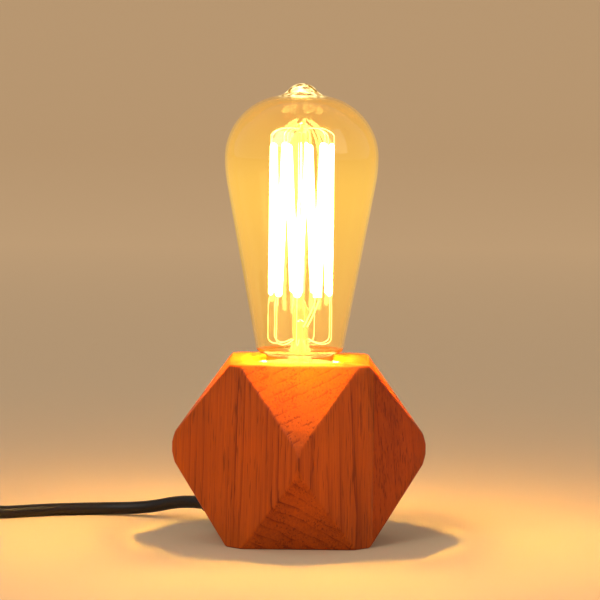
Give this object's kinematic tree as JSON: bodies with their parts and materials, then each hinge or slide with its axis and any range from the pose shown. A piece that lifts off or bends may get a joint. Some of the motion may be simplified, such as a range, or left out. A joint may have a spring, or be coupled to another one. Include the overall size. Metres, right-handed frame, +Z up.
{
  "type": "bare bulb table lamp",
  "caption": "Table lamp with a bare squirrel-cage filament bulb screwed into a faceted wooden block, with an inline rocker switch, a coiled cord and a two-pin plug.",
  "frame": {"origin": "on the table, at the middle of the wooden block's foot", "axes": "+Z up along the bulb's axis; the front upright edge of the block faces -Y; the cord leaves to the rear left, between -X and +Y"},
  "size_m": [0.3722, 0.1215, 0.1914],
  "materials": {
    "oiled_wood": "oiled, satin",
    "darker_wood": "oiled, satin",
    "porcelain": "white glazed",
    "clear_glass": "clear, polished",
    "black_glass": "dark, polished",
    "brass": "bright",
    "zinc_steel": "zinc plated",
    "nickel": "nickel plated",
    "solder": "dull",
    "tungsten": "glowing thread",
    "black_rubber": "matte",
    "black_cord": "matte",
    "black_plastic": "satin",
    "brown_core": "satin",
    "blue_core": "satin",
    "white_nylon": "satin",
    "steel_screw": "zinc plated"
  },
  "bodies": {
    "base": {"front_board": "oiled_wood", "rear_board": "darker_wood", "base_cover": "black_plastic", "cover_screws": "steel_screw", "nipple": "zinc_steel", "nipple_washer": "zinc_steel", "nipple_nut": "zinc_steel", "bracket_nut": "zinc_steel", "cord_strain_relief": "black_rubber", "cord_in_base": "black_cord", "cord_tie": "white_nylon", "live_core": "brown_core", "neutral_core": "blue_core", "lampholder_bracket": "zinc_steel", "bracket_screws": "steel_screw", "porcelain_body": "porcelain", "live_terminal": "brass", "neutral_terminal": "brass", "terminal_screws": "brass", "centre_contact": "brass", "contact_rivet": "brass", "screw_shell": "nickel", "shell_rivet": "brass", "cord_to_switch": "black_cord", "cord_from_switch": "black_cord", "cord_coil": "black_cord", "cord_to_plug": "black_cord", "switch_lower_case": "black_plastic", "switch_upper_case": "black_plastic", "switch_case_screws": "steel_screw", "switch_cord_grips": "black_plastic", "switch_cord_ends": "black_cord", "switch_contact_strips": "brass", "switch_terminals": "brass", "switch_terminal_screws": "steel_screw", "switch_live_cores": "brown_core", "switch_neutral_core": "blue_core", "plug_body": "black_rubber", "plug_pins": "nickel", "plug_pin_sleeves": "black_plastic"},
    "bulb_tip": {"bulb_tip_contact": "solder"},
    "bulb": {"bulb_glass": "clear_glass", "cap_shell": "nickel", "cap_insulator": "black_glass", "glass_stem": "clear_glass", "glass_rod": "clear_glass", "upper_hooks": "tungsten", "lower_hooks": "tungsten", "filament": "tungsten", "lead_in_wires": "nickel", "cap_wires": "nickel"},
    "rocker": {"switch_rocker": "black_plastic", "switch_contact_roller": "brass"}
  },
  "joints": [
    {"name": "bulb_lift", "type": "slide", "parent": "base", "child": "bulb_tip", "axis": [0, 0, 1], "range_m": [0, 0.02]},
    {"name": "bulb_turn", "type": "hinge", "parent": "bulb_tip", "child": "bulb", "pos_m": [0, 0, 0.06], "axis": [0, 0, 1], "range_deg": [0, 1980]},
    {"name": "rocker_rock", "type": "hinge", "parent": "base", "child": "rocker", "pos_m": [-0.196, 0.039, 0.0135], "axis": [0, 1, 0], "range_deg": [-18, 0]}
  ],
  "couplings": [
    {"joint": "bulb_lift", "follows": "bulb_turn", "m_per_rad": 0.00057751}
  ]
}
